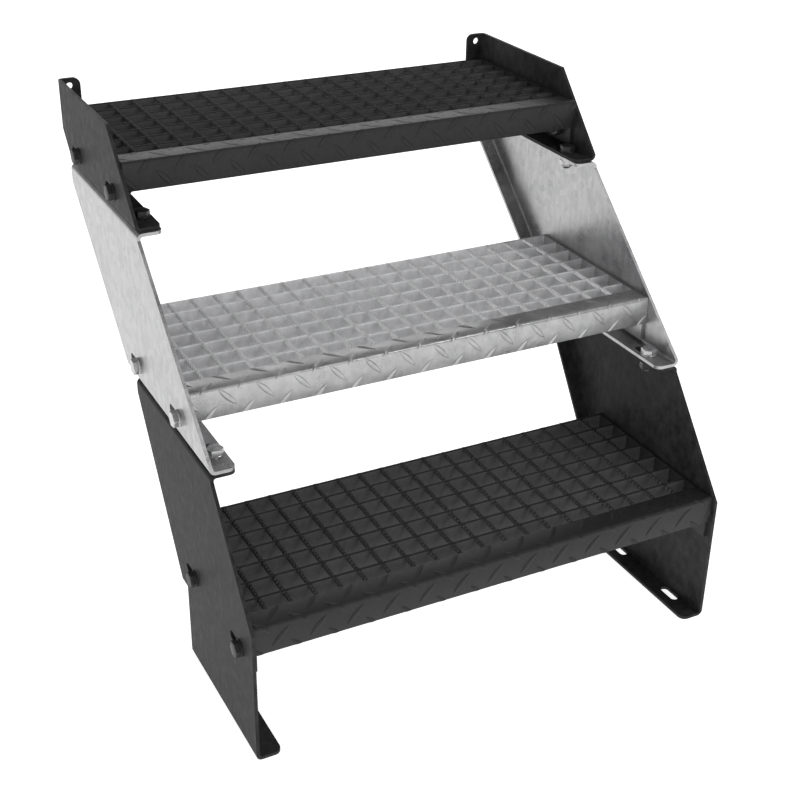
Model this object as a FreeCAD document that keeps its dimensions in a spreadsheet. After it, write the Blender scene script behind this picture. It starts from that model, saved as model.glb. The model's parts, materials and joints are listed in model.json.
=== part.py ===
import FreeCAD, Part
import math
import os
import Sketcher

# Modular three-step steel stair, used as a mounting block. Millimetres, +Z up, -Y is the front that a
# person walks up from, +Y the wall side. The origin is on the floor, in the middle of the base area.
# Three modules stand on each other. Each has two folded cheeks and one grating tread, which bolts
# between them through slots. Distances called "back" in the sheet run forward from the wall plane.

doc = FreeCAD.newDocument("step_unit")
sheet = doc.addObject("Spreadsheet::Sheet", "Sizes")

SIZES = {
    # whole unit
    "outer_width": 610, "total_depth": 608, "total_height": 608,
    "lower_seam": 308, "upper_seam": 508, "slide_gap": 0.1,
    # folded plate
    "plate": 4, "bend_outer": 7, "flange": 31, "rear_flange": 24, "tab_width": 28, "free_corner": 9, "flange_end": 8,
    # bottom cheek
    "low_rear_top_back": 250, "low_rear_knee": 278, "ledge_back": 372, "ledge_height": 99,
    "foot_back": 398, "front_knee": 168,
    # middle cheek
    "mid_rear_top_back": 29, "mid_rear_knee": 476, "mid_rear_low_back": 215,
    "mid_front_low_back": 503, "mid_front_top_back": 299,
    # top cheek
    "top_rear_knee": 554, "top_rear_low_back": 44, "top_front_low_back": 294, "top_front_high_back": 208,
    # treads
    "tread_depth": 240, "tread_gap": 0.2,
    "low_tread_top": 174, "mid_tread_top": 374, "top_tread_top": 574,
    "low_nose_back": 603, "mid_nose_back": 438, "top_nose_back": 248,
    "nose_plate": 3, "nose_band": 30, "nose_face": 35, "nose_round": 3.5,
    "bar_thick": 3, "bar_deep": 30, "bar_pitch": 31, "rod_side": 5, "rod_pitch": 30, "rod_shift": -4,
    "end_plate": 4, "end_deep": 58, "end_cut_back": 40, "end_cut_high": 32, "end_hole": 11,
    "bolt_front": 31, "bolt_rear": 173, "bolt_drop": 43,
    # slots and holes
    "slot_wide": 11, "tread_slot": 36, "tread_slot_shift": 12, "seam_slot": 36, "seam_slot_shift": 7,
    "seam_bolt_inset": 19, "seam_bolt_pitch": 150, "low_seam_bolt_back": 468, "top_seam_bolt_back": 258,
    "floor_slot": 30, "floor_slot_inset": 13, "floor_slot_front_back": 557, "floor_slot_rear_back": 444,
    "wall_hole": 9, "wall_hole_inset": 14, "wall_hole_drop": 10,
    # M10 fasteners
    "shank": 10, "hex_corner": 9.8, "head_high": 6.4, "nut_high": 8.4,
    "washer_across": 20, "washer_bore": 10.5, "washer_thick": 2,
    "tread_bolt_long": 23, "seam_bolt_long": 24,
}
BAR_COUNT = 8
ROD_COUNT = 19
SIDES = {"left": -1, "right": 1}

for row, (alias, value) in enumerate(SIZES.items(), start=1):
    sheet.set("A%d" % row, alias)
    sheet.set("B%d" % row, str(value))
    sheet.setAlias("B%d" % row, alias)
doc.recompute()

PARTS = []


def size(alias):
    """Value of one cell, for choosing edges by where they lie."""
    return float(getattr(sheet, alias))


def cell(text):
    """Expression text in which each word that is an alias points into the sheet."""
    words = text.replace("(", " ( ").replace(")", " ) ").split()
    return " ".join("Sizes." + word if word in SIZES else word for word in words)


def bind(item, prop, text):
    item.setExpression(prop, cell(text))


def from_wall(text):
    """Y of a point that lies this far forward of the wall plane."""
    return "total_depth / 2 - ( %s )" % text


def publish(item, node):
    """Mark an object as a finished sub-part; its label names its file."""
    item.Label = node
    PARTS.append(item)
    return item


# ---------------------------------------------------------------- sketches and bodies

# Where sketch geometry is first drawn, clear of the origin; its constraints then move it.
SKETCH_START = FreeCAD.Vector(31, 17, 0)


def new_body(name):
    return doc.addObject("PartDesign::Body", name)


def new_sketch(body, name, plane, offset):
    """Sketch on one of the body's own planes, moved along its normal by an expression."""
    sketch = body.newObject("Sketcher::SketchObject", name)
    base = [item for item in body.Origin.OriginFeatures if item.Role == plane][0]
    sketch.AttachmentSupport = [(base, "")]
    sketch.MapMode = "FlatFace"
    bind(sketch, "AttachmentOffset.Base.z", offset)
    return sketch


def pin(sketch, geometry, vertex, across, up):
    """Fix one sketch point with two distances from the origin."""
    point = sketch.getPoint(geometry, vertex)
    for kind, drawn, text in (("DistanceX", point.x, across), ("DistanceY", point.y, up)):
        index = sketch.addConstraint(Sketcher.Constraint(kind, -1, 1, geometry, vertex, drawn))
        bind(sketch, "Constraints[%d]" % index, text)


def draw_outline(sketch, points):
    """Closed outline of straight lines through points given as pairs of expressions."""
    start = sketch.GeometryCount
    count = len(points)
    turn = FreeCAD.Rotation(FreeCAD.Vector(0, 0, 1), 360.0 / count)
    spoke = FreeCAD.Vector(100, 0, 0)
    ring = []
    for step in range(count):
        ring.append(spoke + SKETCH_START)
        spoke = turn.multVec(spoke)
    for step in range(count):
        sketch.addGeometry(Part.LineSegment(ring[step], ring[(step + 1) % count]), False)
    for step in range(count):
        following = start + (step + 1) % count
        sketch.addConstraint(Sketcher.Constraint("Coincident", start + step, 2, following, 1))
    for step, (across, up) in enumerate(points):
        pin(sketch, start + step, 1, across, up)


def draw_circle(sketch, across, up, diameter):
    index = sketch.addGeometry(Part.Circle(SKETCH_START, FreeCAD.Vector(0, 0, 1), 5), False)
    pin(sketch, index, 3, across, up)
    limit = sketch.addConstraint(Sketcher.Constraint("Radius", index, 5.0))
    bind(sketch, "Constraints[%d]" % limit, "%s / 2" % diameter)


def draw_slot(sketch, across, up, length, width, along_x):
    """Slot with round ends: two half circles and two tangent lines."""
    quarter = math.pi / 2
    normal = FreeCAD.Vector(0, 0, 1)
    shift = 10.0
    facing = 0.0 if along_x else quarter
    ahead = FreeCAD.Rotation(normal, 0 if along_x else 90).multVec(FreeCAD.Vector(shift, 0, 0))
    side = FreeCAD.Rotation(normal, 90).multVec(ahead) * 0.5
    radius = side.Length
    near_centre, far_centre = SKETCH_START - ahead, SKETCH_START + ahead
    near = sketch.addGeometry(Part.ArcOfCircle(Part.Circle(near_centre, normal, radius),
                                               facing + quarter, facing + 3 * quarter), False)
    far = sketch.addGeometry(Part.ArcOfCircle(Part.Circle(far_centre, normal, radius),
                                              facing - quarter, facing + quarter), False)
    upper = sketch.addGeometry(Part.LineSegment(near_centre + side, far_centre + side), False)
    lower = sketch.addGeometry(Part.LineSegment(far_centre - side, near_centre - side), False)
    for first, first_end, second, second_end in ((near, 1, upper, 1), (upper, 2, far, 2),
                                                 (far, 1, lower, 1), (lower, 2, near, 2)):
        sketch.addConstraint(Sketcher.Constraint("Tangent", first, first_end, second, second_end))
    sketch.addConstraint(Sketcher.Constraint("Equal", near, far))
    limit = sketch.addConstraint(Sketcher.Constraint("Radius", near, radius))
    bind(sketch, "Constraints[%d]" % limit, "%s / 2" % width)
    reach = "( %s - %s ) / 2" % (length, width)
    for arc, sign in ((near, "-"), (far, "+")):
        if along_x:
            pin(sketch, arc, 3, "%s %s %s" % (across, sign, reach), up)
        else:
            pin(sketch, arc, 3, across, "%s %s %s" % (up, sign, reach))


def pad(body, sketch, name, length, reverse):
    item = body.newObject("PartDesign::Pad", name)
    item.Profile = sketch
    item.Reversed = reverse
    bind(item, "Length", length)
    doc.recompute()
    return item


def pocket(body, sketch, name, length, reverse):
    """Pocket that must remove something."""
    before = body.Shape.Volume
    item = body.newObject("PartDesign::Pocket", name)
    item.Profile = sketch
    item.Reversed = reverse
    bind(item, "Length", length)
    doc.recompute()
    if item.Shape.Volume > before - 1.0:
        raise RuntimeError("%s of %s cut nothing" % (name, body.Name))
    return item


def edges_where(shape, test):
    """Names of the straight edges whose middle and direction pass a test."""
    names = []
    for index, edge in enumerate(shape.Edges, start=1):
        if isinstance(edge.Curve, Part.Line):
            first, last = edge.Vertexes[0].Point, edge.Vertexes[-1].Point
            if test((first + last) * 0.5, last - first):
                names.append("Edge%d" % index)
    return names


def faces_where(shape, test):
    """Names of the flat faces whose centre and outward normal pass a test."""
    names = []
    for index, face in enumerate(shape.Faces, start=1):
        if isinstance(face.Surface, Part.Plane):
            if test(face.CenterOfMass, face.normalAt(0, 0)):
                names.append("Face%d" % index)
    return names


def round_edges(body, name, radius, test):
    tip = body.Tip
    edges = edges_where(tip.Shape, test)
    if not edges:
        raise RuntimeError("%s of %s found no edge" % (name, body.Name))
    item = body.newObject("PartDesign::Fillet", name)
    item.Base = (tip, edges)
    bind(item, "Radius", radius)
    doc.recompute()
    if item.Shape.isNull():
        raise RuntimeError("%s of %s failed on %s" % (name, body.Name, edges))
    return item


# ---------------------------------------------------------------- cheeks

MIDDLE_BASE = "lower_seam + slide_gap"
TOP_BASE = "upper_seam + slide_gap"

# Outline of each cheek, from the rear top corner down and round to the front top corner. The last word
# tells how the edge that starts at the point is made: left open, or folded inward to that width.
CHEEKS = {
    "bottom": (
        ("low_rear_top_back", "lower_seam", "open"),
        ("low_rear_top_back", "low_rear_knee", "rear_flange"),
        ("ledge_back", "ledge_height", "open"),
        ("foot_back", "ledge_height", "open"),
        ("foot_back", "0", "flange"),
        ("total_depth", "0", "open"),
        ("total_depth", "front_knee", "open"),
        ("mid_front_low_back", "lower_seam - flange_end", "open"),
        ("mid_front_low_back", "lower_seam", "flange")),
    "middle": (
        ("mid_rear_top_back", "upper_seam", "open"),
        ("mid_rear_top_back", "mid_rear_knee", "rear_flange"),
        ("mid_rear_low_back", MIDDLE_BASE, "flange"),
        ("mid_front_low_back", MIDDLE_BASE, "open"),
        ("mid_front_low_back", "lower_seam + flange_end", "open"),
        ("mid_front_top_back", "upper_seam - flange_end", "open"),
        ("mid_front_top_back", "upper_seam", "flange")),
    "top": (
        ("0", "total_height", "tab_width"),
        ("0", "top_rear_knee", "open"),
        ("top_rear_low_back", TOP_BASE, "flange"),
        ("top_front_low_back", TOP_BASE, "open"),
        ("top_front_low_back", "upper_seam + flange_end", "open"),
        ("top_front_high_back", "total_height", "open")),
}
TREADS = {
    "bottom": ("low_nose_back", "low_tread_top"),
    "middle": ("mid_nose_back", "mid_tread_top"),
    "top": ("top_nose_back", "top_tread_top"),
}
# Seam between two modules: the cheeks below and above it, its height, and its front bolts.
SEAMS = {
    "lower": ("bottom", "middle", "lower_seam", "low_seam_bolt_back"),
    "upper": ("middle", "top", "upper_seam", "top_seam_bolt_back"),
}


def value_of(text):
    """Number that an expression of sums and differences of cells stands for."""
    total, sign = 0.0, 1.0
    for word in text.split():
        if word in "+-":
            sign = 1.0 if word == "+" else -1.0
        else:
            total += sign * (size(word) if word in SIZES else float(word))
    return total


def outline_numbers(module):
    """Corner points of a cheek as (y, z) numbers, with the making of each edge."""
    half = size("total_depth") / 2
    return [(half - value_of(back), value_of(high), make) for back, high, make in CHEEKS[module]]


def on_segment(point, start, end):
    """True where a (y, z) point lies on the straight edge between two corners."""
    edge = FreeCAD.Vector(0, end[0] - start[0], end[1] - start[1])
    reach = FreeCAD.Vector(0, point.y - start[0], point.z - start[1])
    return edge.cross(reach).Length < 0.5 * edge.Length and 0 < edge.dot(reach) < edge.Length ** 2


def make_cheek(module, side):
    """Folded plate with inward flanges, slots for the tread bolts and slots in its flanges."""
    sign = SIDES[side]
    face = "outer_width / 2" if sign > 0 else "- outer_width / 2"
    inward = "-" if sign > 0 else "+"
    outer_x = sign * size("outer_width") / 2
    inner_x = outer_x - sign * size("flange")
    body = new_body("%s_cheek_%s" % (module, side))
    corners = outline_numbers(module)
    edges = [(corners[i], corners[(i + 1) % len(corners)]) for i in range(len(corners))]

    sketch = new_sketch(body, "outline", "YZ_Plane", face)
    draw_outline(sketch, [(from_wall(back), high) for back, high, make in CHEEKS[module]])
    block = pad(body, sketch, "block", "flange", sign > 0)

    folded = [edge for edge in edges if edge[0][2] != "open"]
    round_edges(body, "bends", "bend_outer", lambda middle, along: abs(middle.x - outer_x) < 0.01
                and any(on_segment(middle, start, end) for start, end in folded))

    rounded = body.Tip
    unfolded = [edge for edge in edges if edge[0][2] == "open"]
    openings = faces_where(rounded.Shape, lambda centre, normal: abs(centre.x - inner_x) < 0.01
                           or any(on_segment(centre, start, end) for start, end in unfolded))
    wall = body.newObject("PartDesign::Thickness", "wall")
    wall.Base = (rounded, openings)
    wall.Reversed = True
    bind(wall, "Value", "plate")
    doc.recompute()
    if wall.Shape.Volume > 0.5 * block.Shape.Volume:
        raise RuntimeError("%s is not hollow" % body.Name)

    for number, (back, high, width) in enumerate(CHEEKS[module]):
        if width in ("rear_flange", "tab_width"):
            trim_flange(body, module, number, "%s %s %s" % (face, inward, width), sign > 0)

    round_free_corners(body, inner_x)
    cut_tread_slots(body, module, face, sign)
    cut_flange_slots(body, module, sign)
    if module == "top":
        cut_wall_hole(body, sign)
    return publish(body, "%s_cheek_%s" % (module, side))


def trim_flange(body, module, number, limit, right):
    """Cut the flange of the edge that starts at one corner, from an X limit inward."""
    corners = CHEEKS[module]
    start, end = corners[number], corners[(number + 1) % len(corners)]
    sketch = new_sketch(body, "trim_%d" % number, "YZ_Plane", limit)
    above, below = start[1] + " + 2 * plate", end[1] + " - 2 * plate"
    draw_outline(sketch, [(from_wall(start[0] + " - 2 * plate"), above),
                          (from_wall(end[0] + " - 2 * plate"), below),
                          (from_wall(end[0] + " + 3 * plate"), below),
                          (from_wall(start[0] + " + 3 * plate"), above)])
    pocket(body, sketch, "trimmed_%d" % number, "flange", not right)


def round_free_corners(body, inner_x):
    """Round the flanges' free corners in plan, and the wall tab's upper corner."""
    plate = size("plate")
    tab_x = (abs(inner_x) + size("flange") - size("tab_width")) * (1 if inner_x > 0 else -1)

    def is_corner(middle, along):
        upright = abs(abs(along.z) - plate) < 0.01 and abs(along.x) < 0.01 and abs(along.y) < 0.01
        across = abs(abs(along.y) - plate) < 0.01 and abs(along.x) < 0.01 and abs(along.z) < 0.01
        on_tab = abs(middle.x - tab_x) < 0.01 and middle.z > size("top_rear_knee") - 1
        return (upright and abs(middle.x - inner_x) < 0.01) or (across and on_tab)

    round_edges(body, "free_corners", "free_corner", is_corner)


def cut_tread_slots(body, module, face, sign):
    """Two level slots in the plate; the tread's bolts stand near their front ends and can move back."""
    nose, top = TREADS[module]
    sketch = new_sketch(body, "tread_slots", "YZ_Plane", face)
    for place in ("bolt_front", "bolt_rear"):
        draw_slot(sketch, from_wall("%s - %s - tread_slot_shift" % (nose, place)), top + " - bolt_drop",
                  "tread_slot", "slot_wide", True)
    pocket(body, sketch, "tread_slots_cut", "plate", sign < 0)


def cut_flange_slots(body, module, sign):
    """Fore-and-aft slots: in the flanges at the seams, and in the floor flange."""
    across = "%s ( outer_width / 2 - %s )" % ("" if sign > 0 else "-", "%s")
    for seam, (below, above, height, front) in SEAMS.items():
        if module not in (below, above):
            continue
        if module == below:
            level, shift = height, ""
        else:
            level, shift = height + " + slide_gap + plate", " - seam_slot_shift"
        sketch = new_sketch(body, seam + "_slots", "XY_Plane", level)
        for rearward in ("", " - seam_bolt_pitch"):
            draw_slot(sketch, (across % "seam_bolt_inset").strip(), from_wall(front + shift + rearward),
                      "seam_slot", "slot_wide", False)
        pocket(body, sketch, seam + "_slots_cut", "plate", False)
    if module == "bottom":
        sketch = new_sketch(body, "floor_slots", "XY_Plane", "plate")
        for back in ("floor_slot_front_back", "floor_slot_rear_back"):
            draw_slot(sketch, (across % "floor_slot_inset").strip(), from_wall(back),
                      "floor_slot", "slot_wide", False)
        pocket(body, sketch, "floor_slots_cut", "plate", False)


def cut_wall_hole(body, sign):
    """Round hole near the top of the wall tab."""
    sketch = new_sketch(body, "wall_hole", "XZ_Plane", "- total_depth / 2")
    across = "%s ( outer_width / 2 - wall_hole_inset )" % ("" if sign > 0 else "-")
    draw_circle(sketch, across.strip(), "total_height - wall_hole_drop", "wall_hole")
    pocket(body, sketch, "wall_hole_cut", "plate", True)


# ---------------------------------------------------------------- treads

def move(item, across, along, high):
    """Bind the place of an object to expressions for its X, Y and Z."""
    bind(item, "Placement.Base.x", across)
    bind(item, "Placement.Base.y", along)
    bind(item, "Placement.Base.z", high)


def new_box(name, length, width, height, across, deep, high):
    item = doc.addObject("Part::Box", name)
    bind(item, "Length", length)
    bind(item, "Width", width)
    bind(item, "Height", height)
    move(item, across, deep, high)
    return item


def group(name, items):
    item = doc.addObject("Part::Compound", name)
    item.Links = items
    return item


INNER_SPAN = "outer_width - 2 * ( plate + tread_gap + end_plate )"
TREAD_SPAN = "outer_width - 2 * ( plate + tread_gap )"


def make_nosing(module, place):
    """Angle across the front: a top band and a front face, with a rounded corner."""
    body = new_body(module + "_nosing")
    sketch = new_sketch(body, "section", "YZ_Plane", "- ( %s ) / 2" % TREAD_SPAN)
    draw_outline(sketch, (("0", "0"), ("nose_band", "0"), ("nose_band", "- nose_plate"),
                          ("nose_plate", "- nose_plate"), ("nose_plate", "- nose_face"),
                          ("0", "- nose_face")))
    pad(body, sketch, "angle", TREAD_SPAN, False)
    round_edges(body, "nose", "nose_round",
                lambda middle, along: abs(middle.y) < 0.01 and abs(middle.z) < 0.01)
    move(body, *place)
    publish(body, module + "_tread_nosing")


def make_end_plate(module, side, place):
    """Plate welded across the bars' ends, with two bolt holes and a bevelled rear lower corner."""
    sign = SIDES[side]
    body = new_body("%s_end_%s" % (module, side))
    outer = "( %s ) / 2" % TREAD_SPAN
    sketch = new_sketch(body, "outline", "YZ_Plane", outer if sign > 0 else "- " + outer)
    draw_outline(sketch, (("nose_plate", "- nose_plate"), ("nose_plate", "- end_deep"),
                          ("tread_depth - end_cut_back", "- end_deep"),
                          ("tread_depth", "end_cut_high - end_deep"), ("tread_depth", "0"),
                          ("nose_band", "0"), ("nose_band", "- nose_plate")))
    pad(body, sketch, "plate", "end_plate", sign > 0)
    holes = new_sketch(body, "holes", "YZ_Plane", outer if sign > 0 else "- " + outer)
    for deep in ("bolt_front", "bolt_rear"):
        draw_circle(holes, deep, "- bolt_drop", "end_hole")
    pocket(body, holes, "holes_cut", "end_plate", sign < 0)
    move(body, *place)
    publish(body, "%s_tread_end_plate_%s" % (module, side))


def make_grating(module, place):
    """Bearing bars along the tread, notched for the cross rods that run front to back."""
    rods = []
    for number in range(ROD_COUNT):
        centre = "rod_shift + %d * rod_pitch" % (number - ROD_COUNT // 2)
        rods.append(new_box("%s_rod_%02d" % (module, number), "rod_side",
                            "tread_depth - bar_thick - nose_band", "rod_side",
                            centre + " - rod_side / 2", "nose_band", "- rod_side"))
    rod_group = group(module + "_rods", rods)
    bars = []
    for number in range(BAR_COUNT):
        under_nose = number == BAR_COUNT - 1
        height = "bar_deep - nose_plate" if under_nose else "bar_deep"
        bars.append(new_box("%s_bar_%d" % (module, number), INNER_SPAN, "bar_thick", height,
                            "- ( %s ) / 2" % INNER_SPAN,
                            "tread_depth - bar_thick - %d * bar_pitch" % number, "- bar_deep"))
    plain = group(module + "_plain_bars", bars)
    notched = doc.addObject("Part::Cut", module + "_bars")
    notched.Base = plain
    notched.Tool = rod_group
    move(notched, *place)
    publish(notched, module + "_tread_bearing_bars")
    placed_rods = group(module + "_placed_rods", [rod_group])
    move(placed_rods, *place)
    publish(placed_rods, module + "_tread_cross_rods")


# ---------------------------------------------------------------- fasteners

def prism(name, height):
    item = doc.addObject("Part::Prism", name)
    item.Polygon = 6
    bind(item, "Circumradius", "hex_corner")
    bind(item, "Height", height)
    return item


def cylinder(name, diameter, height, base):
    item = doc.addObject("Part::Cylinder", name)
    bind(item, "Radius", "%s / 2" % diameter)
    bind(item, "Height", height)
    bind(item, "Placement.Base.z", base)
    return item


def boolean(kind, name, first, second, place, turn):
    """Boolean of two objects, turned and moved as one."""
    item = doc.addObject(kind, name)
    item.Base = first
    item.Tool = second
    item.Placement = FreeCAD.Placement(FreeCAD.Vector(), turn)
    move(item, *place)
    return item


def hex_bolt(name, length, place, turn):
    """Hexagon bolt: the underside of its head is at the place, its shank points along local -Z."""
    return boolean("Part::Fuse", name, prism(name + "_head", "head_high"),
                   cylinder(name + "_shank", "shank", length + " + head_high / 2", "- " + length),
                   place, turn)


def hex_nut(name, place, turn):
    return boolean("Part::Cut", name, prism(name + "_hex", "nut_high"),
                   cylinder(name + "_bore", "shank", "nut_high", "0"), place, turn)


def washer(name, place, turn):
    return boolean("Part::Cut", name, cylinder(name + "_disc", "washer_across", "washer_thick", "0"),
                   cylinder(name + "_bore", "washer_bore", "washer_thick", "0"), place, turn)


def make_tread_fasteners(module):
    """Four bolts through the cheek slots, each with a washer outside and a nut inside."""
    nose, top = TREADS[module]
    bolts, washers, nuts = [], [], []
    for side, sign in SIDES.items():
        turn = FreeCAD.Rotation(FreeCAD.Vector(0, 1, 0), 90 * sign)
        lead = "" if sign > 0 else "- "
        for end in ("front", "rear"):
            name = "%s_%s_%s" % (module, side, end)
            back = from_wall("%s - bolt_%s" % (nose, end))
            high = top + " - bolt_drop"
            washer_face = lead + "( outer_width / 2 + slide_gap )"
            head_face = lead + "( outer_width / 2 + slide_gap + washer_thick )"
            nut_face = lead + "( %s ) / 2 %s nut_high" % (INNER_SPAN, "-" if sign > 0 else "+")
            bolts.append(hex_bolt(name + "_bolt", "tread_bolt_long", (head_face, back, high), turn))
            washers.append(washer(name + "_washer", (washer_face, back, high), turn))
            nuts.append(hex_nut(name + "_nut", (nut_face, back, high), turn))
    publish(group(module + "_tread_bolt_set", bolts), module + "_tread_bolts")
    publish(group(module + "_tread_washer_set", washers), module + "_tread_washers")
    publish(group(module + "_tread_nut_set", nuts), module + "_tread_nuts")


def make_seam_fasteners(seam):
    """Four upright bolts that clamp the upper module's flanges on the lower module's."""
    below, above, height, front = SEAMS[seam]
    upright = FreeCAD.Rotation()
    head_face = height + " + plate + 2 * slide_gap + washer_thick"
    bolts, washers, nuts = [], [], []
    for side, sign in SIDES.items():
        across = "%s ( outer_width / 2 - seam_bolt_inset )" % ("" if sign > 0 else "-")
        for end, rearward in (("front", ""), ("rear", " - seam_bolt_pitch")):
            name = "%s_%s_%s" % (seam, side, end)
            spot = (across.strip(), from_wall(front + rearward))
            bolts.append(hex_bolt(name + "_bolt", "seam_bolt_long", spot + (head_face,), upright))
            washers.append(washer(name + "_washer_top", spot + (head_face + " - washer_thick",), upright))
            under = height + " - plate - washer_thick"
            washers.append(washer(name + "_washer_under", spot + (under,), upright))
            nuts.append(hex_nut(name + "_nut", spot + (under + " - nut_high",), upright))
    publish(group(seam + "_seam_bolt_set", bolts), seam + "_flange_bolts")
    publish(group(seam + "_seam_washer_set", washers), seam + "_flange_washers")
    publish(group(seam + "_seam_nut_set", nuts), seam + "_flange_nuts")


# ---------------------------------------------------------------- assembly

for module, (nose, top) in TREADS.items():
    place = ("0", from_wall(nose), top)
    for side in SIDES:
        make_cheek(module, side)
        make_end_plate(module, side, place)
    make_nosing(module, place)
    make_grating(module, place)
    make_tread_fasteners(module)
for seam in SEAMS:
    make_seam_fasteners(seam)
doc.recompute()

failed = [item.Name for item in doc.Objects if {"Invalid", "Error"} & set(item.State)]
broken = [item.Label for item in PARTS if item.Shape.isNull() or not item.Shape.isValid()]
if failed or broken:
    raise RuntimeError("failed objects %s, broken shapes %s" % (failed, broken))

os.makedirs("parts", exist_ok=True)
for item in PARTS:
    item.Shape.exportStep("parts/%s.step" % item.Label)
    box = item.Shape.BoundBox
    print("%-28s %2d solids, %9.0f mm3, x %7.1f..%6.1f, y %7.1f..%6.1f, z %6.1f..%6.1f"
          % (item.Label, len(item.Shape.Solids), item.Shape.Volume,
             box.XMin, box.XMax, box.YMin, box.YMax, box.ZMin, box.ZMax))
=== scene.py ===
"""Looks of a modular steel step unit.

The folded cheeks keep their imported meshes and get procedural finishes. The treads, with their tear-plate
nosings, twisted cross rods and rounded bearing bars, and all the hexagon fasteners are rebuilt in more detail.
"""

import json
import logging
import math
from dataclasses import dataclass
from enum import Enum
from typing import Iterator, Optional, Sequence

import bmesh
import bpy
from mathutils import Matrix, Vector

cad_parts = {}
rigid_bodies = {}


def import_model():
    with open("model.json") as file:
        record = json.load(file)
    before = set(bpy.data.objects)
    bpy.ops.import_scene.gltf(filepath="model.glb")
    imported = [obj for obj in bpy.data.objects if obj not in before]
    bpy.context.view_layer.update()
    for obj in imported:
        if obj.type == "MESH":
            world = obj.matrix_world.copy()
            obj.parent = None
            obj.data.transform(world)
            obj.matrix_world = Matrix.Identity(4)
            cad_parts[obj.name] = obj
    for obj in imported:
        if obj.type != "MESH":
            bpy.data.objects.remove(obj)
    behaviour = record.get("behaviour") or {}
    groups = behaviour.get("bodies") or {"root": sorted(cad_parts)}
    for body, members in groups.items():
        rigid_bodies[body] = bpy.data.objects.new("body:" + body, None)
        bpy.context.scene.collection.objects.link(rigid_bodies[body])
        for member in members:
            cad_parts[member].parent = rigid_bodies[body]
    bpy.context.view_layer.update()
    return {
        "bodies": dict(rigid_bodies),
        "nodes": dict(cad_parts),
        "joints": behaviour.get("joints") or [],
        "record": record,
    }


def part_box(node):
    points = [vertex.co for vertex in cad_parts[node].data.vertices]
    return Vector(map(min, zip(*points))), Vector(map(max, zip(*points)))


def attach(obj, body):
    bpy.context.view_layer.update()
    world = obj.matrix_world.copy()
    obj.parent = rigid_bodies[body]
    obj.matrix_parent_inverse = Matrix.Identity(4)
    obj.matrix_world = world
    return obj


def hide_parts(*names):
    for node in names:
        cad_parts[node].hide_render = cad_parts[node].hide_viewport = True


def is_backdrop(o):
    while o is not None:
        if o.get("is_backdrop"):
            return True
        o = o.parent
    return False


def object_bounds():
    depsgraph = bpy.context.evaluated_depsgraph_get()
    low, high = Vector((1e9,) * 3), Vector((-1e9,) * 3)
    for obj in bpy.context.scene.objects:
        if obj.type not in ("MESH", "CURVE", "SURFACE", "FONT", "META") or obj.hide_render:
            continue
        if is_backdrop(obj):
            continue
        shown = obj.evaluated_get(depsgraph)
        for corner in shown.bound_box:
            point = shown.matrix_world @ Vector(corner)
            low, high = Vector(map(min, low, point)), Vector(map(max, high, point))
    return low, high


LOG = logging.getLogger("step_unit")
MM = 0.001
WIDE_SMOOTH = 40.0
ROD_SMOOTH = 25.0
ZINC_COOLNESS = 0.012


class Module(Enum):
    """The stacked modules, from the floor up."""

    BOTTOM = "bottom"
    MIDDLE = "middle"
    TOP = "top"


class Seam(Enum):
    """The bolted joints between two modules."""

    LOWER = "lower"
    UPPER = "upper"


class Coat(Enum):
    """What covers the steel."""

    BLACK = "black"
    ZINC = "zinc"


COAT_OF = {
    Module.BOTTOM: Coat.BLACK, Module.MIDDLE: Coat.ZINC, Module.TOP: Coat.BLACK,
    Seam.LOWER: Coat.ZINC, Seam.UPPER: Coat.BLACK,
}
NUT_COAT_OF = {Seam.LOWER: Coat.BLACK, Seam.UPPER: Coat.ZINC}
SIDES = ("left", "right")


# ------------------------------------------------------------------ finishes

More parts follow.
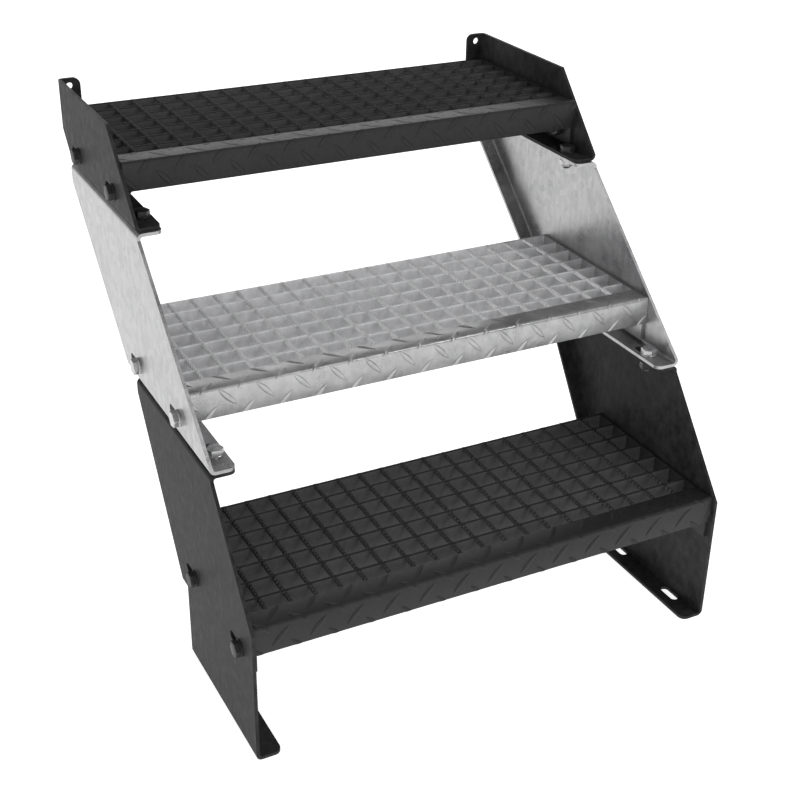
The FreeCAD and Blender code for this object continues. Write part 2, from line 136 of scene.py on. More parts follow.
class Shader:
    """Lays the nodes of one material, fed by Object coordinates, and joins them to one Principled shader."""

    def __init__(self, name: str, metallic: float) -> None:
        """Start a material.

        Args:
            name: name of the material.
            metallic: metallic value of the whole surface.
        """
        self.material = bpy.data.materials.new(name)
        self.material.use_nodes = True
        self.tree = self.material.node_tree
        self.surface = self.tree.nodes["Principled BSDF"]
        self.surface.inputs["Metallic"].default_value = metallic
        self.place = self.tree.nodes.new("ShaderNodeTexCoord").outputs["Object"]

    def stretched(self, across: float, along: float, up: float) -> bpy.types.NodeSocket:
        """Object coordinates scaled by a factor on each axis."""
        node = self.tree.nodes.new("ShaderNodeMapping")
        node.inputs["Scale"].default_value = (across, along, up)
        self.tree.links.new(self.place, node.inputs["Vector"])
        return node.outputs["Vector"]

    def noise(self, grain: float, detail: float = 3.0,
              place: Optional[bpy.types.NodeSocket] = None) -> bpy.types.NodeSocket:
        """Noise whose features are about one grain across.

        Args:
            grain: size of a feature in metres.
            detail: octaves of finer noise.
            place: coordinates to read, or the plain Object coordinates.

        Returns:
            The noise value, from 0 to 1.
        """
        node = self.tree.nodes.new("ShaderNodeTexNoise")
        node.inputs["Scale"].default_value = 1.0 / grain
        node.inputs["Detail"].default_value = detail
        self.tree.links.new(place or self.place, node.inputs["Vector"])
        return node.outputs["Fac"]

    def crystals(self, across: float) -> bpy.types.NodeSocket:
        """Random grey for each crystal of a spangled zinc skin.

        Args:
            across: size of a crystal in metres.

        Returns:
            A value from 0 to 1 for each crystal.
        """
        node = self.tree.nodes.new("ShaderNodeTexVoronoi")
        node.inputs["Scale"].default_value = 1.0 / across
        self.tree.links.new(self.place, node.inputs["Vector"])
        grey = self.tree.nodes.new("ShaderNodeSeparateColor")
        self.tree.links.new(node.outputs["Color"], grey.inputs["Color"])
        return grey.outputs["Red"]

    def ranged(self, value: bpy.types.NodeSocket, low: float, high: float, start: float = 0.3,
               stop: float = 0.7) -> bpy.types.NodeSocket:
        """A value clamped between start and stop and moved to the range from low to high."""
        node = self.tree.nodes.new("ShaderNodeMapRange")
        for name, number in (("From Min", start), ("From Max", stop), ("To Min", low), ("To Max", high)):
            node.inputs[name].default_value = number
        self.tree.links.new(value, node.inputs["Value"])
        return node.outputs["Result"]

    def combined(self, operation: str, first: bpy.types.NodeSocket,
                 second: bpy.types.NodeSocket) -> bpy.types.NodeSocket:
        """Two values joined by one arithmetic operation."""
        node = self.tree.nodes.new("ShaderNodeMath")
        node.operation = operation
        self.tree.links.new(first, node.inputs[0])
        self.tree.links.new(second, node.inputs[1])
        return node.outputs["Value"]

    def tint(self, value: bpy.types.NodeSocket, dark: float, light: float, coolness: float = 0.0) -> None:
        """Colour the surface between two greys.

        Args:
            value: where 0 is the dark grey and 1 the light one.
            dark: the dark grey, in linear light.
            light: the light grey, in linear light.
            coolness: how much the blue rises above the red.
        """
        node = self.tree.nodes.new("ShaderNodeMix")
        node.data_type = "RGBA"
        node.inputs["A"].default_value = (dark, dark, dark * (1 + coolness), 1)
        node.inputs["B"].default_value = (light, light, light * (1 + coolness), 1)
        self.tree.links.new(value, node.inputs["Factor"])
        self.tree.links.new(node.outputs["Result"], self.surface.inputs["Base Color"])

    def paint_shaded_tops(self, start: float, pitch: float, soft: float, grey: float) -> None:
        """Paint shade on the tops of shapes that repeat upwards, darkening them.

        Args:
            start: height where a top begins, within one repeat.
            pitch: height of one repeat.
            soft: height over which the colour changes.
            grey: grey of the painted shade on the tops, in linear light.
        """
        height = self.tree.nodes.new("ShaderNodeSeparateXYZ")
        self.tree.links.new(self.place, height.inputs["Vector"])
        level = self.tree.nodes.new("ShaderNodeMath")
        level.operation = "MODULO"
        level.inputs[1].default_value = pitch
        self.tree.links.new(height.outputs["Z"], level.inputs[0])
        node = self.tree.nodes.new("ShaderNodeMix")
        node.data_type = "RGBA"
        node.inputs["B"].default_value = (grey, grey, grey, 1)
        self.tree.links.new(self.ranged(level.outputs["Value"], 0.0, 1.0, start, start + soft),
                            node.inputs["Factor"])
        self.tree.links.new(self.surface.inputs["Base Color"].links[0].from_socket, node.inputs["A"])
        self.tree.links.new(node.outputs["Result"], self.surface.inputs["Base Color"])

    def rough(self, value: bpy.types.NodeSocket) -> None:
        """Use a value as the roughness."""
        self.tree.links.new(value, self.surface.inputs["Roughness"])

    def relief(self, value: bpy.types.NodeSocket, depth: float, strength: float,
               under: Optional[bpy.types.NodeSocket] = None) -> bpy.types.NodeSocket:
        """Bump the surface, on top of any coarser bump.

        Args:
            value: the height, from 0 to 1.
            depth: the real height in metres.
            strength: how much of it shows.
            under: the normal that a coarser bump gave.

        Returns:
            The bumped normal.
        """
        node = self.tree.nodes.new("ShaderNodeBump")
        node.inputs["Distance"].default_value = depth
        node.inputs["Strength"].default_value = strength
        self.tree.links.new(value, node.inputs["Height"])
        if under is not None:
            self.tree.links.new(under, node.inputs["Normal"])
        self.tree.links.new(node.outputs["Normal"], self.surface.inputs["Normal"])
        return node.outputs["Normal"]


@dataclass(frozen=True)
class HotDipZinc:
    """Hot-dip galvanised skin: pale and cloudy, with faint crystals, run marks and a fine grain."""

    name: str
    dark: float
    light: float
    smoothest: float
    roughest: float
    crystal: float = 9 * MM
    cloud: float = 45 * MM
    grain: float = 1.1 * MM
    metallic: float = 0.7
    relief: float = 0.35
    run: float = 6 * MM
    run_stretch: float = 0.12
    lump: float = 14 * MM
    lump_depth: float = 0.5 * MM
    grain_depth: float = 0.06 * MM

    def material(self) -> bpy.types.Material:
        """The finished material."""
        shader = Shader(self.name, self.metallic)
        crystals = shader.ranged(shader.crystals(self.crystal), -0.16, 0.16, 0.0, 1.0)
        runs = shader.noise(self.run, 2.0, shader.stretched(1.0, 1.0, self.run_stretch))
        clouds = shader.noise(self.cloud, 4.0)
        grain = shader.noise(self.grain, 2.0)
        value = shader.combined("ADD", shader.ranged(clouds, 0.15, 0.75), crystals)
        value = shader.combined("ADD", value, shader.ranged(runs, -0.12, 0.12))
        value = shader.combined("ADD", value, shader.ranged(grain, -0.1, 0.1))
        shader.tint(value, self.dark, self.light, ZINC_COOLNESS)
        shader.rough(shader.combined("ADD", shader.ranged(clouds, self.smoothest, self.roughest),
                                     shader.ranged(grain, -0.04, 0.04)))
        lumps = shader.relief(shader.noise(self.lump), self.lump_depth, self.relief)
        shader.relief(grain, self.grain_depth, self.relief, lumps)
        return shader.material


@dataclass(frozen=True)
class BlackCoat:
    """Satin black coat over zinc: fine orange peel, mottling, a dusty bloom and, on bars, painted shade that
    darkens the tops.
    """

    name: str
    dark: float
    light: float
    smoothest: float
    roughest: float
    streak: float = 5 * MM
    streak_stretch: float = 0.75
    peel: float = 1.3 * MM
    relief: float = 0.3
    specular: float = 0.5
    bloom: float = 70 * MM
    lump: float = 18 * MM
    lump_depth: float = 0.35 * MM
    peel_depth: float = 0.05 * MM
    shaded_tops: bool = False
    top_shade_start: float = 172.6 * MM
    top_shade_pitch: float = 200 * MM
    top_shade_soft: float = 0.4 * MM
    top_shade_factor: float = 0.4

    def material(self) -> bpy.types.Material:
        """The finished material."""
        shader = Shader(self.name, 0.0)
        shader.surface.inputs["Specular IOR Level"].default_value = self.specular
        streaks = shader.noise(self.streak, 4.0, shader.stretched(1.0, 1.0, self.streak_stretch))
        bloom = shader.noise(self.bloom, 3.0)
        peel = shader.noise(self.peel, 2.0)
        value = shader.combined("ADD", shader.ranged(streaks, 0.0, 0.5), shader.ranged(bloom, 0.0, 0.35))
        value = shader.combined("ADD", value, shader.ranged(peel, -0.1, 0.15))
        shader.tint(value, self.dark, self.light)
        # Painted shade: darkens the tops of the bars, picked out by their height within each module's repeat.
        if self.shaded_tops:
            shader.paint_shaded_tops(self.top_shade_start, self.top_shade_pitch, self.top_shade_soft, self.dark * self.top_shade_factor)
        shader.rough(shader.combined("ADD", shader.ranged(streaks, self.smoothest, self.roughest),
                                     shader.ranged(bloom, -0.03, 0.03)))
        lumps = shader.relief(shader.noise(self.lump, 2.0), self.lump_depth, self.relief)
        shader.relief(peel, self.peel_depth, self.relief, lumps)
        return shader.material


@dataclass(frozen=True)
class Finishes:
    """The materials of one coat, made once and shared by its pieces."""

    sheet: bpy.types.Material
    tread: bpy.types.Material
    bar: bpy.types.Material
    rod: bpy.types.Material
    fastener: bpy.types.Material
    steel_slot: str
    fastener_slot: str


def make_finishes() -> dict[Coat, Finishes]:
    """Make the black and the galvanised sets of materials."""
    return {
        Coat.ZINC: Finishes(
            HotDipZinc("galvanised cheek", 0.30, 0.54, 0.24, 0.44, metallic=0.85).material(),
            HotDipZinc("galvanised tread", 0.34, 0.52, 0.26, 0.42, crystal=6 * MM, cloud=30 * MM,
                       relief=0.6).material(),
            # Painted light: the bars are a much paler zinc than the tread, standing in for light inside the
            # grating's cells.
            HotDipZinc("galvanised bar painted lighter", 0.64, 0.90, 0.34, 0.46, crystal=5 * MM, cloud=18 * MM,
                       metallic=0.35, relief=0.6).material(),
            HotDipZinc("galvanised rod", 0.86, 0.97, 0.20, 0.30, crystal=4 * MM, cloud=20 * MM,
                       metallic=0.25, relief=0.6).material(),
            HotDipZinc("zinc plated bolt", 0.45, 0.62, 0.22, 0.34, crystal=3 * MM, cloud=8 * MM).material(),
            "galvanised_steel", "zinc_fasteners"),
        Coat.BLACK: Finishes(
            BlackCoat("black cheek", 0.016, 0.062, 0.36, 0.56, streak=9 * MM, specular=0.04).material(),
            BlackCoat("black tread", 0.016, 0.034, 0.38, 0.54, relief=0.45, specular=0.22).material(),
            # Painted light: the bars are a much lighter black than the tread, standing in for light inside the
            # grating's cells; their tops also get painted shade.
            BlackCoat("black bar with painted light and shade", 0.086, 0.126, 0.46, 0.60, relief=0.45, specular=0.06, shaded_tops=True).material(),
            BlackCoat("black rod", 0.016, 0.034, 0.34, 0.48, relief=0.45).material(),
            BlackCoat("black bolt", 0.010, 0.024, 0.42, 0.55, streak=3 * MM).material(),
            "black_steel", "black_fasteners"),
    }


# ------------------------------------------------------------------ mesh helpers

def publish(bm: bmesh.types.BMesh, name: str, body: str, node: Optional[str], material: bpy.types.Material,
            smooth_to: float = 32.0) -> bpy.types.Object:
    """Turn a bmesh into a piece that rides on a body.

    Args:
        bm: the mesh, in metres and in place.
        name: name of the piece.
        body: body that carries it.
        node: CAD node that it stands for, or None.
        material: its finish.
        smooth_to: edges that turn less than this many degrees are shaded smooth.

    Returns:
        The piece.
    """
    bmesh.ops.recalc_face_normals(bm, faces=bm.faces)
    mesh = bpy.data.meshes.new(name)
    bm.to_mesh(mesh)
    bm.free()
    mesh.materials.append(material)
    mesh.shade_smooth()
    mesh.set_sharp_from_angle(angle=math.radians(smooth_to))
    piece = bpy.data.objects.new(name, mesh)
    bpy.context.scene.collection.objects.link(piece)
    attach(piece, body)
    if node is not None:
        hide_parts(node)
    LOG.info("%s: %d faces on %s", name, len(mesh.polygons), body)
    return piece


def dress(node: bpy.types.Object, material: bpy.types.Material) -> None:
    """Give a CAD node its finish."""
    node.data.materials.clear()
    node.data.materials.append(material)
    LOG.info("%s keeps its packed mesh", node.name)


def long_bar(bm: bmesh.types.BMesh, low: Vector, high: Vector) -> list[bmesh.types.BMVert]:
    """Add a closed block between two corners and return its vertices."""
    made = bmesh.ops.create_cube(bm, size=1.0)["verts"]
    bmesh.ops.scale(bm, vec=high - low, verts=made)
    bmesh.ops.translate(bm, vec=(low + high) / 2, verts=made)
    return made


def edges_of(verts: Sequence[bmesh.types.BMVert]) -> list[bmesh.types.BMEdge]:
    """Edges whose two ends are both among the vertices."""
    chosen = set(verts)
    return [edge for edge in {edge for vert in verts for edge in vert.link_edges}
            if edge.verts[0] in chosen and edge.verts[1] in chosen]


class Stamp:
    """A small finished shape that is copied into larger meshes."""

    def __init__(self, shape: bmesh.types.BMesh) -> None:
        """Keep a shape and free its bmesh."""
        self.mesh = bpy.data.meshes.new("stamp")
        shape.to_mesh(self.mesh)
        shape.free()

    def press(self, bm: bmesh.types.BMesh, place: Matrix) -> None:
        """Add a copy of the shape at a place."""
        copy = self.mesh.copy()
        copy.transform(place)
        bm.from_mesh(copy)
        bpy.data.meshes.remove(copy)


def bevel(bm: bmesh.types.BMesh, edges: Sequence[bmesh.types.BMEdge], width: float, segments: int) -> None:
    """Round some edges."""
    bmesh.ops.bevel(bm, geom=list(edges), offset=width, offset_type="OFFSET", segments=segments,
                    profile=0.5, affect="EDGES", material=-1, clamp_overlap=True)


# ------------------------------------------------------------------ treads

@dataclass(frozen=True)
class TearPlate:
    """Raised tears of a checker plate, in two crossed families that alternate row by row."""

    pitch: float = 44 * MM
    row: float = 19.2 * MM
    half_length: float = 15.5 * MM
    half_width: float = 3.4 * MM
    height: float = 1.0 * MM
    lean: float = 47.0
    tip_width: float = 0.25
    round_segments: int = 16
    height_segments: int = 8
    trim: float = 1e-7

    def tear(self) -> Stamp:
        """One pointed tear, lying along X on the flat plane."""
        bm = bmesh.new()
        bmesh.ops.create_uvsphere(bm, u_segments=self.round_segments, v_segments=self.height_segments, radius=1.0)
        for vert in bm.verts:
            bulge = math.sqrt(max(0.0, 1.0 - vert.co.x ** 2))
            vert.co.y *= bulge * (1.0 - self.tip_width) + self.tip_width
        bmesh.ops.scale(bm, vec=(self.half_length, self.half_width, self.height), verts=bm.verts)
        return Stamp(bm)

    def fill(self, bm: bmesh.types.BMesh, low: float, high: float, rear: float, edge: float,
             phase: float, first_row: float) -> None:
        """Cover a strip of plate with tears and trim them at its edges.

        Args:
            bm: mesh that takes the flat pattern.
            low: left end of the strip.
            high: right end of the strip.
            rear: rear edge of the strip, as a distance down the plate.
            edge: lower edge of the strip.
            phase: place of one tear along the strip.
            first_row: distance down the plate of a row that leans back.
        """
        tear = self.tear()
        start = first_row - 2 * math.ceil((first_row - rear) / (2 * self.row)) * self.row
        for number in range(math.ceil((edge - start + self.half_length) / self.row) + 1):
            down = start + number * self.row
            shift = 0.0 if number % 2 == 0 else self.pitch / 2
            first = math.floor((low - phase - shift) / self.pitch)
            last = math.ceil((high - phase - shift) / self.pitch)
            turn = Matrix.Rotation(math.radians(-self.lean if number % 2 else self.lean), 4, "Z")
            for step in range(first, last + 1):
                tear.press(bm, Matrix.Translation((phase + shift + step * self.pitch, down, 0)) @ turn)
        for point, outward in (((low, 0, 0), (-1, 0, 0)), ((high, 0, 0), (1, 0, 0)),
                               ((0, rear, 0), (0, -1, 0)), ((0, edge, 0), (0, 1, 0))):
            bmesh.ops.bisect_plane(bm, geom=list(bm.verts) + list(bm.edges) + list(bm.faces),
                                   dist=self.trim, plane_co=point, plane_no=outward, clear_outer=True)
            rim = [item for item in bm.edges if item.is_boundary]
            bmesh.ops.holes_fill(bm, edges=rim, sides=0)


@dataclass(frozen=True)
class Nosing:
    """Tear-plate angle across the front of a tread."""

    module: Module
    phase: float
    first_row: float
    plate: float = 3.0 * MM
    fold: float = 3.5 * MM
    margin: float = 0.6 * MM
    worn: float = 0.4
    edge_round: float = 0.45 * MM
    edge_segments: int = 2
    fold_segments: int = 7
    pattern: TearPlate = TearPlate()

    def angle(self, low: Vector, high: Vector) -> bmesh.types.BMesh:
        """The folded angle itself, with a rounded nose.

        Args:
            low: lowest corner of the nosing's box.
            high: highest corner of the nosing's box.

        Returns:
            A closed mesh.
        """
        bm = bmesh.new()
        section = ((low.y, high.z), (high.y, high.z), (high.y, high.z - self.plate),
                   (low.y + self.plate, high.z - self.plate), (low.y + self.plate, low.z), (low.y, low.z))
        face = bm.faces.new([bm.verts.new((low.x, y, z)) for y, z in section])
        drawn = bmesh.ops.extrude_face_region(bm, geom=[face])["geom"]
        moved = [item for item in drawn if isinstance(item, bmesh.types.BMVert)]
        bmesh.ops.translate(bm, vec=(high.x - low.x, 0, 0), verts=moved)
        bmesh.ops.recalc_face_normals(bm, faces=bm.faces)

        def lengthwise(near: Optional[tuple[float, float]], away: Sequence[tuple[float, float]]
                       ) -> list[bmesh.types.BMEdge]:
            """Edges along the nosing, at one (y, z) if it is given, and at none of the others."""
            found = []
            for edge in bm.edges:
                at = edge.verts[0].co
                if abs(at.x - edge.verts[1].co.x) > self.fold \
                        and (near is None or math.dist(near, at.yz) < self.margin) \
                        and all(math.dist(spot, at.yz) > self.margin for spot in away):
                    found.append(edge)
            return found

        corner = (low.y, high.z)
        inside = (low.y + self.plate, high.z - self.plate)
        bevel(bm, lengthwise(None, (corner, inside)), self.edge_round, self.edge_segments)
        bevel(bm, lengthwise(corner, ()), self.fold, self.fold_segments)
        return bm

    def wrap(self, bm: bmesh.types.BMesh, low: Vector, high: Vector) -> None:
        """Wrap the flat pattern over the worn band, the rounded nose and the front face.

        Args:
            bm: flat pattern: X along the nosing, Y down the plate from the sharp corner, Z its height.
            low: lowest corner of the nosing's box.
            high: highest corner of the nosing's box.
        """
        hub = Vector((0, low.y + self.fold, high.z - self.fold))
        for vert in bm.verts:
            along, down, lift = vert.co
            if down <= -self.fold:
                vert.co = (along, low.y - down, high.z + lift * self.worn)
            elif down >= self.fold:
                vert.co = (along, low.y - lift, high.z - down)
            else:
                turn = (down + self.fold) / (2 * self.fold) * math.pi / 2
                spoke = Vector((0, -math.sin(turn), math.cos(turn))) * (self.fold + lift)
                vert.co = Vector((along, 0, 0)) + hub + spoke

    def build(self, finishes: Finishes) -> None:
        """Build the nosing in place of its CAD node."""
        node = f"{self.module.value}_tread_nosing"
        low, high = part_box(node)
        tears = bmesh.new()
        self.pattern.fill(tears, low.x + self.margin, high.x - self.margin, low.y - high.y + self.margin,
                          high.z - low.z - self.margin, self.phase, self.first_row)
        self.wrap(tears, low, high)
        flat = bpy.data.meshes.new("tears")
        tears.to_mesh(flat)
        tears.free()
        bm = self.angle(low, high)
        bm.from_mesh(flat)
        bpy.data.meshes.remove(flat)
        publish(bm, f"{self.module.value}_nosing", f"{self.module.value}_tread", node, finishes.tread,
                WIDE_SMOOTH)


@dataclass(frozen=True)
class CrossRods:
    """Twisted square rods that run front to back between the bearing bars."""

    module: Module
    count: int = 19
    cad_side: float = 5 * MM
    side: float = 4.1 * MM
    turn_length: float = 26 * MM
    step: float = 2.2 * MM
    sunk: float = 2.3 * MM
    stagger: float = 0.7

    def rod(self, long: float) -> Stamp:
        """One twisted rod that starts at the origin and runs along +Y for its length."""
        bm = bmesh.new()
        steps = max(1, round(long / self.step))
        made = bmesh.ops.create_circle(bm, cap_ends=True, segments=4, radius=self.side / math.sqrt(2))["verts"]
        bmesh.ops.rotate(bm, cent=(0, 0, 0), matrix=Matrix.Rotation(math.pi / 2, 3, "X"), verts=made)
        drawn = bmesh.ops.spin(bm, geom=edges_of(made), cent=(0, 0, 0), axis=(0, 1, 0),
                               dvec=(0, long / steps, 0), steps=steps,
                               angle=2 * math.pi * long / self.turn_length)["geom_last"]
        bmesh.ops.contextual_create(bm, geom=[item for item in drawn if isinstance(item, bmesh.types.BMEdge)])
        return Stamp(bm)

    def axes(self) -> list[float]:
        """X of each rod's axis, from left to right."""
        low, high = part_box(f"{self.module.value}_tread_cross_rods")
        pitch = (high.x - low.x - self.cad_side) / (self.count - 1)
        return [low.x + self.cad_side / 2 + number * pitch for number in range(self.count)]

    def build(self, finishes: Finishes) -> None:
        """Build the rods in place of their CAD node."""
        node = f"{self.module.value}_tread_cross_rods"
        low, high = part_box(node)
        rod = self.rod(high.y - low.y)
        bm = bmesh.new()
        for number, across in enumerate(self.axes()):
            start = (across, low.y, high.z - self.sunk)
            rod.press(bm, Matrix.Translation(start) @ Matrix.Rotation(number * self.stagger, 4, "Y"))
        publish(bm, f"{self.module.value}_twisted_rods", f"{self.module.value}_tread", node, finishes.rod,
                ROD_SMOOTH)


@dataclass(frozen=True)
class BearingBars:
    """Flat bars along the tread with worn, rounded tops, and zinc webs where the rods cross them."""

    module: Module
    count: int = 8
    thickness: float = 3 * MM
    under_nose: float = 3 * MM
    rounding: float = 1.1 * MM
    rounding_segments: int = 3
    web: tuple[float, float, float] = (5.6 * MM, 3.0 * MM, 1.8 * MM)
    web_sunk: float = 1.7 * MM

    def build(self, finishes: Finishes) -> None:
        """Build the bars and the webs in place of their CAD node."""
        node = f"{self.module.value}_tread_bearing_bars"
        low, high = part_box(node)
        pitch = (high.y - low.y - self.thickness) / (self.count - 1)
        bm = bmesh.new()
        for number in range(self.count):
            front = low.y + number * pitch
            top = high.z - (self.under_nose if number == 0 else 0.0)
            made = long_bar(bm, Vector((low.x, front, low.z)), Vector((high.x, front + self.thickness, top)))
            rims = [edge for edge in edges_of(made) if edge.verts[0].co.z > top - MM
                    and edge.verts[1].co.z > top - MM and abs(edge.verts[0].co.x - edge.verts[1].co.x) > MM]
            bevel(bm, rims, self.rounding, self.rounding_segments)
        crossings = CrossRods(self.module).axes()
        drop = bmesh.new()
        bmesh.ops.create_uvsphere(drop, u_segments=10, v_segments=6, radius=1.0)
        bmesh.ops.scale(drop, vec=self.web, verts=drop.verts)
        web = Stamp(drop)
        for number in range(1, self.count):
            along = low.y + number * pitch + self.thickness / 2
            for across in crossings:
                web.press(bm, Matrix.Translation((across, along, high.z - self.web_sunk)))
        publish(bm, f"{self.module.value}_bearing_bars", f"{self.module.value}_tread", node, finishes.bar,
                WIDE_SMOOTH)


# ------------------------------------------------------------------ fasteners

@dataclass(frozen=True)
class HexSet:
    """M10 hexagon bolt, nut and washer, each made along +Z and then put in its place."""

    corner: float = 9.8 * MM
    shank: float = 5.0 * MM
    core: float = 4.25 * MM
    head: float = 6.4 * MM
    nut: float = 8.4 * MM
    washer_outer: float = 10.0 * MM
    washer_bore: float = 5.25 * MM
    washer: float = 2.0 * MM
    thread: float = 1.5 * MM
    thread_length: float = 12.0 * MM
    chamfer: float = 1.0 * MM
    chamfer_segments: int = 2
    tip: float = 0.6 * MM
    washer_edge: float = 0.35 * MM
    segments: int = 20
    weld: float = 0.01 * MM

    @property
    def flat(self) -> float:
        """Distance from the axis to a flat."""
        return self.corner * math.cos(math.pi / 6)

    def prism(self, bm: bmesh.types.BMesh, low: float, high: float, both_ends: bool) -> list[bmesh.types.BMVert]:
        """Add a hexagon prism with a chamfered top, or chamfers at both ends.

        Args:
            bm: mesh that takes it.
            low: its lower end.
            high: its upper end.
            both_ends: whether the lower end is chamfered too.

        Returns:
            Its vertices.
        """
        known = set(bm.verts)
        made = bmesh.ops.create_cone(bm, cap_ends=True, cap_tris=False, segments=6, radius1=self.corner,
                                     radius2=self.corner, depth=high - low)["verts"]
        bmesh.ops.translate(bm, vec=(0, 0, (low + high) / 2), verts=made)
        middle = (low + high) / 2
        rims = [edge for edge in edges_of(made) if abs(edge.verts[0].co.z - edge.verts[1].co.z) < MM / 10
                and (both_ends or edge.verts[0].co.z > middle)]
        bevel(bm, rims, self.chamfer, self.chamfer_segments)
        return [vert for vert in bm.verts if vert not in known]

    def turned(self, bm: bmesh.types.BMesh, section: Sequence[tuple[float, float]], closed: bool) -> None:
        """Add a round part, spun about Z from a section of (radius, height) points.

        Args:
            bm: mesh that takes it.
            section: the points in order.
            closed: whether the last point joins the first.
        """
        verts = [bm.verts.new((radius, 0, height)) for radius, height in section]
        pairs = list(zip(verts, verts[1:])) + ([(verts[-1], verts[0])] if closed else [])
        edges = [bm.edges.new(pair) for pair in pairs]
        bmesh.ops.spin(bm, geom=verts + edges, cent=(0, 0, 0), axis=(0, 0, 1), dvec=(0, 0, 0),
                       angle=2 * math.pi, steps=self.segments, use_merge=True)

    def bolt(self, bm: bmesh.types.BMesh, place: Matrix, length: float) -> None:
        """Add a bolt with its head above the place and its threaded shank below."""
        own = bmesh.new()
        self.prism(own, 0.0, self.head, False)
        height = self.tip - length
        section = [(0.0, -length), (self.core - self.tip, -length), (self.core, height)]
        while height < self.thread_length - length:
            section += [(self.shank, height + self.thread / 2), (self.core, height + self.thread)]
            height += self.thread
        section += [(self.shank, height + self.thread / 2), (self.shank, self.head / 2), (0.0, self.head / 2)]
        self.turned(own, section, False)
        self.add(bm, own, place)

    def hex_nut(self, bm: bmesh.types.BMesh, place: Matrix) -> None:
        """Add a nut that stands on the place."""
        own = bmesh.new()
        self.prism(own, 0.0, self.nut, True)
        self.add(bm, own, place)

    def flat_washer(self, bm: bmesh.types.BMesh, place: Matrix) -> None:
        """Add a washer that lies on the place."""
        own = bmesh.new()
        edge = self.washer_edge
        self.turned(own, [(self.washer_bore, 0.0), (self.washer_outer, 0.0),
                          (self.washer_outer, self.washer - edge), (self.washer_outer - edge, self.washer),
                          (self.washer_bore, self.washer)], True)
        self.add(bm, own, place)

    def add(self, bm: bmesh.types.BMesh, own: bmesh.types.BMesh, place: Matrix) -> None:
        """Move one finished fastener to its place and join it to the set."""
        bmesh.ops.remove_doubles(own, verts=own.verts, dist=self.weld)
        bmesh.ops.recalc_face_normals(own, faces=own.faces)
        bmesh.ops.transform(own, matrix=place, verts=own.verts)
        mesh = bpy.data.meshes.new("fastener")
        own.to_mesh(mesh)
        own.free()
        bm.from_mesh(mesh)
        bpy.data.meshes.remove(mesh)


@dataclass(frozen=True)
class TreadFasteners:
    """Bolts that hold one tread between its cheeks, with washers outside and nuts inside."""

    module: Module
    hexes: HexSet = HexSet()
    bolt_length: float = 23 * MM
    turns: tuple[float, ...] = (0.15, 0.95, 0.55, 0.30)

    def places(self, node: str, inset: float) -> Iterator[tuple[int, float, float, float]]:
        """Walk over the corners of a node's box.

        Args:
            node: CAD node with four equal solids.
            inset: from the box to the axis, along Y.

        Yields:
            The side (-1 left, 1 right), Y and Z of an axis, and the turn of its hexagon.
        """
        low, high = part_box(node)
        for number, (side, along) in enumerate((s, y) for s in (-1, 1) for y in (low.y + inset, high.y - inset)):
            yield side, along, (low.z + high.z) / 2, self.turns[number]

    def build(self, finishes: Finishes) -> None:
        """Build the bolts, washers and nuts in place of their CAD nodes."""
        lead = f"{self.module.value}_tread"
        bolts, washers, nuts = bmesh.new(), bmesh.new(), bmesh.new()
        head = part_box(f"{lead}_bolts")[1].x - self.hexes.head
        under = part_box(f"{lead}_washers")[1].x - self.hexes.washer
        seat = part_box(f"{lead}_nuts")[1].x - self.hexes.nut
        for side, along, high, turn in self.places(f"{lead}_bolts", self.hexes.flat):
            out = Matrix.Rotation(side * math.pi / 2, 4, "Y") @ Matrix.Rotation(turn, 4, "Z")
            self.hexes.bolt(bolts, Matrix.Translation((side * head, along, high)) @ out, self.bolt_length)
            self.hexes.flat_washer(washers, Matrix.Translation((side * under, along, high)) @ out)
            self.hexes.hex_nut(nuts, Matrix.Translation((side * seat, along, high)) @ out)
        for bm, kind in ((bolts, "bolts"), (washers, "washers"), (nuts, "nuts")):
            publish(bm, f"{self.module.value}_cheek_{kind}", lead, f"{lead}_{kind}", finishes.fastener)


@dataclass(frozen=True)
class SeamFasteners:
    """Upright bolts that clamp the flanges of two modules, with a washer on each side and a nut below."""

    seam: Seam
    hexes: HexSet = HexSet()
    turns: tuple[float, ...] = (0.35, 0.05, 0.80, 0.50)

    def build(self, finishes: Finishes, below: Finishes) -> None:
        """Build the bolts, washers and nuts in place of their CAD nodes.

        Args:
            finishes: the finishes of the bolts and washers.
            below: the finishes of the nuts, under the flanges.
        """
        lead = f"{self.seam.value}_flange"
        body = "bottom_frame" if self.seam is Seam.LOWER else "middle_frame"
        low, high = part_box(f"{lead}_bolts")
        washer_low, washer_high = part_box(f"{lead}_washers")
        nut_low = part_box(f"{lead}_nuts")[0]
        bolts, washers, nuts = bmesh.new(), bmesh.new(), bmesh.new()
        spots = [(x, y) for x in (low.x + self.hexes.corner, high.x - self.hexes.corner)
                 for y in (low.y + self.hexes.flat, high.y - self.hexes.flat)]
        for (across, along), turn in zip(spots, self.turns):
            spun = Matrix.Rotation(turn, 4, "Z")
            head = high.z - self.hexes.head
            self.hexes.bolt(bolts, Matrix.Translation((across, along, head)) @ spun, head - low.z)
            for level in (washer_low.z, washer_high.z - self.hexes.washer):
                self.hexes.flat_washer(washers, Matrix.Translation((across, along, level)))
            self.hexes.hex_nut(nuts, Matrix.Translation((across, along, nut_low.z)) @ spun)
        for bm, kind, coat in ((bolts, "bolts", finishes), (washers, "washers", finishes), (nuts, "nuts", below)):
            publish(bm, f"{self.seam.value}_seam_{kind}", body, f"{lead}_{kind}", coat.fastener)


# ------------------------------------------------------------------ stage

@dataclass(frozen=True)
class Panel:
    """Soft area light that looks at the middle of the unit."""

    name: str
    place: tuple[float, float, float]
    wide: float
    high: float
    power: float

    def hang(self, target: Vector) -> None:
        """Hang the light so that it faces the target."""
        data = bpy.data.lights.new(self.name, "AREA")
        data.shape = "RECTANGLE"
        data.size, data.size_y, data.energy = self.wide, self.high, self.power
        light = bpy.data.objects.new(self.name, data)
        light.location = self.place
        light.rotation_euler = (target - Vector(self.place)).to_track_quat("-Z", "Y").to_euler()
        bpy.context.scene.collection.objects.link(light)


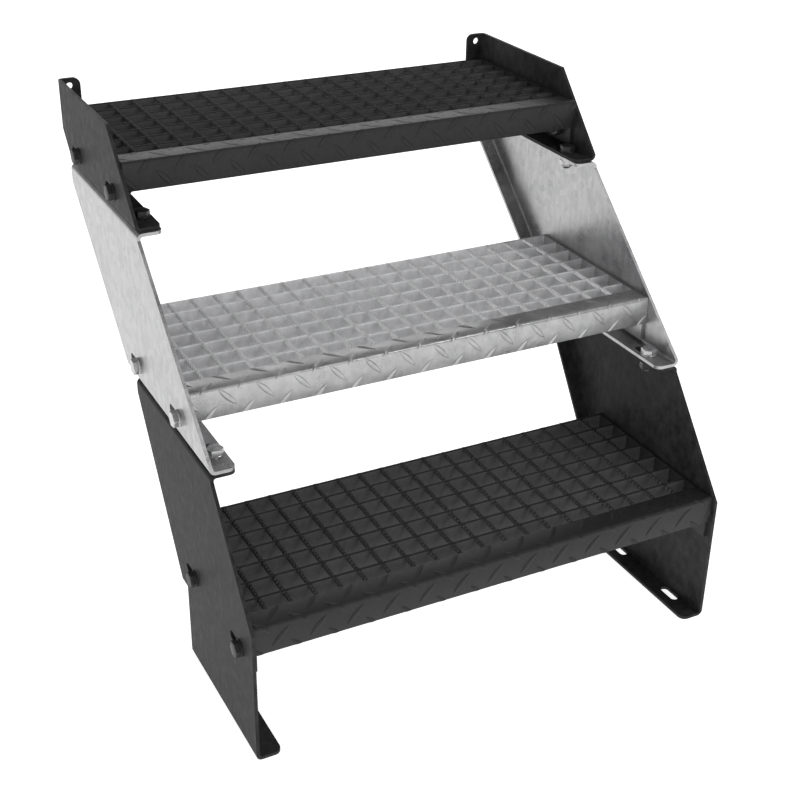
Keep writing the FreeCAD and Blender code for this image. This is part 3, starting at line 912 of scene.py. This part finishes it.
@dataclass(frozen=True)
class Studio:
    """Pale floor, soft panels and the camera."""

    eye: tuple[float, float, float] = (-0.7051, -1.3984, 1.0695)
    yaw: float = 27.51
    pitch: float = 28.07
    roll: float = 0.98
    lens: float = 62.29
    sensor: float = 36.0
    near: float = 0.05
    far: float = 60.0
    floor_half: float = 14.0
    floor_cloud: float = 0.4
    floor_greys: tuple[float, float] = (0.90, 0.92)
    floor_roughness: float = 0.9
    surround: float = 0.27
    floor_glow: float = 0.85
    panels: tuple[Panel, ...] = (
        Panel("left panel", (-3.2, -0.6, 1.4), 3.0, 3.0, 20.0),
        Panel("rear panel", (1.6, 3.2, 2.2), 3.4, 2.6, 44.0),
        Panel("front panel", (0.4, -3.4, 0.9), 2.6, 1.4, 18.0),
        Panel("corner panel", (1.3, -1.4, 2.9), 0.6, 0.6, 16.0),
    )

    def lay_floor(self) -> None:
        """Lay a large pale floor."""
        bm = bmesh.new()
        bmesh.ops.create_grid(bm, x_segments=2, y_segments=2, size=self.floor_half)
        mesh = bpy.data.meshes.new("floor")
        bm.to_mesh(mesh)
        bm.free()
        shader = Shader("floor paper", 0.0)
        shader.tint(shader.noise(self.floor_cloud), *self.floor_greys)
        shader.surface.inputs["Roughness"].default_value = self.floor_roughness
        shader.surface.inputs["Emission Color"].default_value = (1, 1, 1, 1)
        shader.surface.inputs["Emission Strength"].default_value = self.floor_glow
        mesh.materials.append(shader.material)
        floor = bpy.data.objects.new("floor", mesh)
        bpy.context.scene.collection.objects.link(floor)
        floor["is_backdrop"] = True

    def light(self, target: Vector) -> None:
        """Light the scene from all round, with brighter panels."""
        world = bpy.data.worlds.new("studio")
        world.use_nodes = True
        back = world.node_tree.nodes["Background"]
        back.inputs["Color"].default_value = (1, 1, 1, 1)
        back.inputs["Strength"].default_value = self.surround
        bpy.context.scene.world = world
        for panel in self.panels:
            panel.hang(target)

    def aim(self) -> None:
        """Place the camera by its eye, heading, pitch and roll."""
        yaw, pitch, roll = (math.radians(angle) for angle in (self.yaw, self.pitch, self.roll))
        ahead = Vector((math.sin(yaw) * math.cos(pitch), math.cos(yaw) * math.cos(pitch), -math.sin(pitch)))
        level = Vector((math.cos(yaw), -math.sin(yaw), 0))
        above = level.cross(ahead)
        right = level * math.cos(roll) + above * math.sin(roll)
        upward = above * math.cos(roll) - level * math.sin(roll)
        data = bpy.data.cameras.new("camera")
        data.lens, data.sensor_width, data.clip_start, data.clip_end = self.lens, self.sensor, self.near, self.far
        camera = bpy.data.objects.new("camera", data)
        frame = Matrix((right, upward, -ahead)).transposed().to_4x4()
        camera.matrix_world = Matrix.Translation(self.eye) @ frame
        bpy.context.scene.collection.objects.link(camera)
        bpy.context.scene.camera = camera

    def build(self) -> None:
        """Build the whole stage."""
        bpy.context.scene.view_settings.view_transform = "Standard"
        low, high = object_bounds()
        self.lay_floor()
        self.light((low + high) / 2)
        self.aim()


# ------------------------------------------------------------------ the unit

@dataclass(frozen=True)
class Tread:
    """One grating tread with its fasteners."""

    module: Module
    phase: float
    first_row: float

    def build(self, nodes: dict[str, bpy.types.Object], finishes: Finishes) -> None:
        """Build the tread's pieces and dress its end plates."""
        Nosing(self.module, self.phase, self.first_row).build(finishes)
        CrossRods(self.module).build(finishes)
        BearingBars(self.module).build(finishes)
        for side in SIDES:
            dress(nodes[f"{self.module.value}_tread_end_plate_{side}"], finishes.tread)
        TreadFasteners(self.module).build(finishes)


TREADS = (
    Tread(Module.BOTTOM, -248 * MM, -1.5 * MM),
    Tread(Module.MIDDLE, -257.7 * MM, 12.5 * MM),
    Tread(Module.TOP, -252 * MM, 24 * MM),
)


def main() -> None:
    """Load the frame, build every piece, and set up the stage."""
    logging.basicConfig(level=logging.INFO, format="%(name)s %(message)s")
    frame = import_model()
    finishes = make_finishes()
    for tread in TREADS:
        coat = finishes[COAT_OF[tread.module]]
        for side in SIDES:
            dress(frame["nodes"][f"{tread.module.value}_cheek_{side}"], coat.sheet)
        tread.build(frame["nodes"], coat)
    for seam in Seam:
        SeamFasteners(seam).build(finishes[COAT_OF[seam]], finishes[NUT_COAT_OF[seam]])
    Studio().build()


if __name__ == "__main__":
    main()
